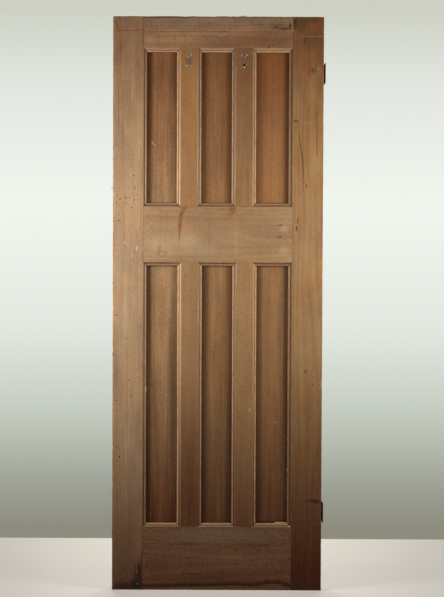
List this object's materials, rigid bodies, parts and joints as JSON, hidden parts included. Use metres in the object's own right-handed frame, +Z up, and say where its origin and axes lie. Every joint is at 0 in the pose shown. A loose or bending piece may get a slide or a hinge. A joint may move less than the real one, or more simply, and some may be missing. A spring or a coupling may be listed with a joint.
{
  "type": "panelled door leaf",
  "caption": "Stripped pine panelled door leaf with sunk flat panels in mitred mouldings, wedged through tenons and rusty butt hinges that swing it open.",
  "frame": {"origin": "middle of the leaf's bottom edge", "axes": "+Z up along the stiles, +X towards the hinges, front face towards -Y"},
  "size_m": [0.7703, 0.0561, 2.083],
  "materials": {
    "frame_pine": "stripped bare pine, dry, stained and worn",
    "panel_pine": "stripped bare pine, darker and more orange",
    "moulding_pine": "stripped bare pine with rubbed arrises",
    "wedge_pine": "end grain, dark with age",
    "rusty_iron": "rusty dark brown, rough",
    "screw_steel": "dull steel with rust"
  },
  "bodies": {
    "upper_frame_leaf": {"upper_hinge_frame_leaf": "rusty_iron", "upper_hinge_pin": "rusty_iron"},
    "door": {"lock_stile": "frame_pine", "hanging_stile": "frame_pine", "top_rail": "frame_pine", "middle_rail": "frame_pine", "bottom_rail": "frame_pine", "upper_left_muntin": "frame_pine", "upper_right_muntin": "frame_pine", "lower_left_muntin": "frame_pine", "lower_right_muntin": "frame_pine", "upper_left_panel": "panel_pine", "upper_centre_panel": "panel_pine", "upper_right_panel": "panel_pine", "lower_left_panel": "panel_pine", "lower_centre_panel": "panel_pine", "lower_right_panel": "panel_pine", "upper_left_front_upright_mouldings": "moulding_pine", "upper_left_back_upright_mouldings": "moulding_pine", "upper_centre_front_upright_mouldings": "moulding_pine", "upper_centre_back_upright_mouldings": "moulding_pine", "upper_right_front_upright_mouldings": "moulding_pine", "upper_right_back_upright_mouldings": "moulding_pine", "lower_left_front_upright_mouldings": "moulding_pine", "lower_left_back_upright_mouldings": "moulding_pine", "lower_centre_front_upright_mouldings": "moulding_pine", "lower_centre_back_upright_mouldings": "moulding_pine", "lower_right_front_upright_mouldings": "moulding_pine", "lower_right_back_upright_mouldings": "moulding_pine", "upper_left_front_cross_mouldings": "moulding_pine", "upper_left_back_cross_mouldings": "moulding_pine", "upper_centre_front_cross_mouldings": "moulding_pine", "upper_centre_back_cross_mouldings": "moulding_pine", "upper_right_front_cross_mouldings": "moulding_pine", "upper_right_back_cross_mouldings": "moulding_pine", "lower_left_front_cross_mouldings": "moulding_pine", "lower_left_back_cross_mouldings": "moulding_pine", "lower_centre_front_cross_mouldings": "moulding_pine", "lower_centre_back_cross_mouldings": "moulding_pine", "lower_right_front_cross_mouldings": "moulding_pine", "lower_right_back_cross_mouldings": "moulding_pine", "lock_stile_wedges": "wedge_pine", "hanging_stile_wedges": "wedge_pine", "upper_hinge_door_leaf": "rusty_iron", "lower_hinge_door_leaf": "rusty_iron", "upper_hinge_screws": "screw_steel", "lower_hinge_screws": "screw_steel"},
    "lower_frame_leaf": {"lower_hinge_frame_leaf": "rusty_iron", "lower_hinge_pin": "rusty_iron"}
  },
  "joints": [
    {"name": "door_swing", "type": "hinge", "parent": "upper_frame_leaf", "child": "door", "pos_m": [0.3835, 0.0283, 1.884], "axis": [0, 0, -1], "range_deg": [0, 180]},
    {"name": "lower_leaf_swing", "type": "hinge", "parent": "door", "child": "lower_frame_leaf", "pos_m": [0.3835, 0.0283, 0.281], "axis": [0, 0, -1], "range_deg": [-180, 0]}
  ],
  "couplings": [
    {"joint": "lower_leaf_swing", "follows": "door_swing", "ratio": -1}
  ]
}
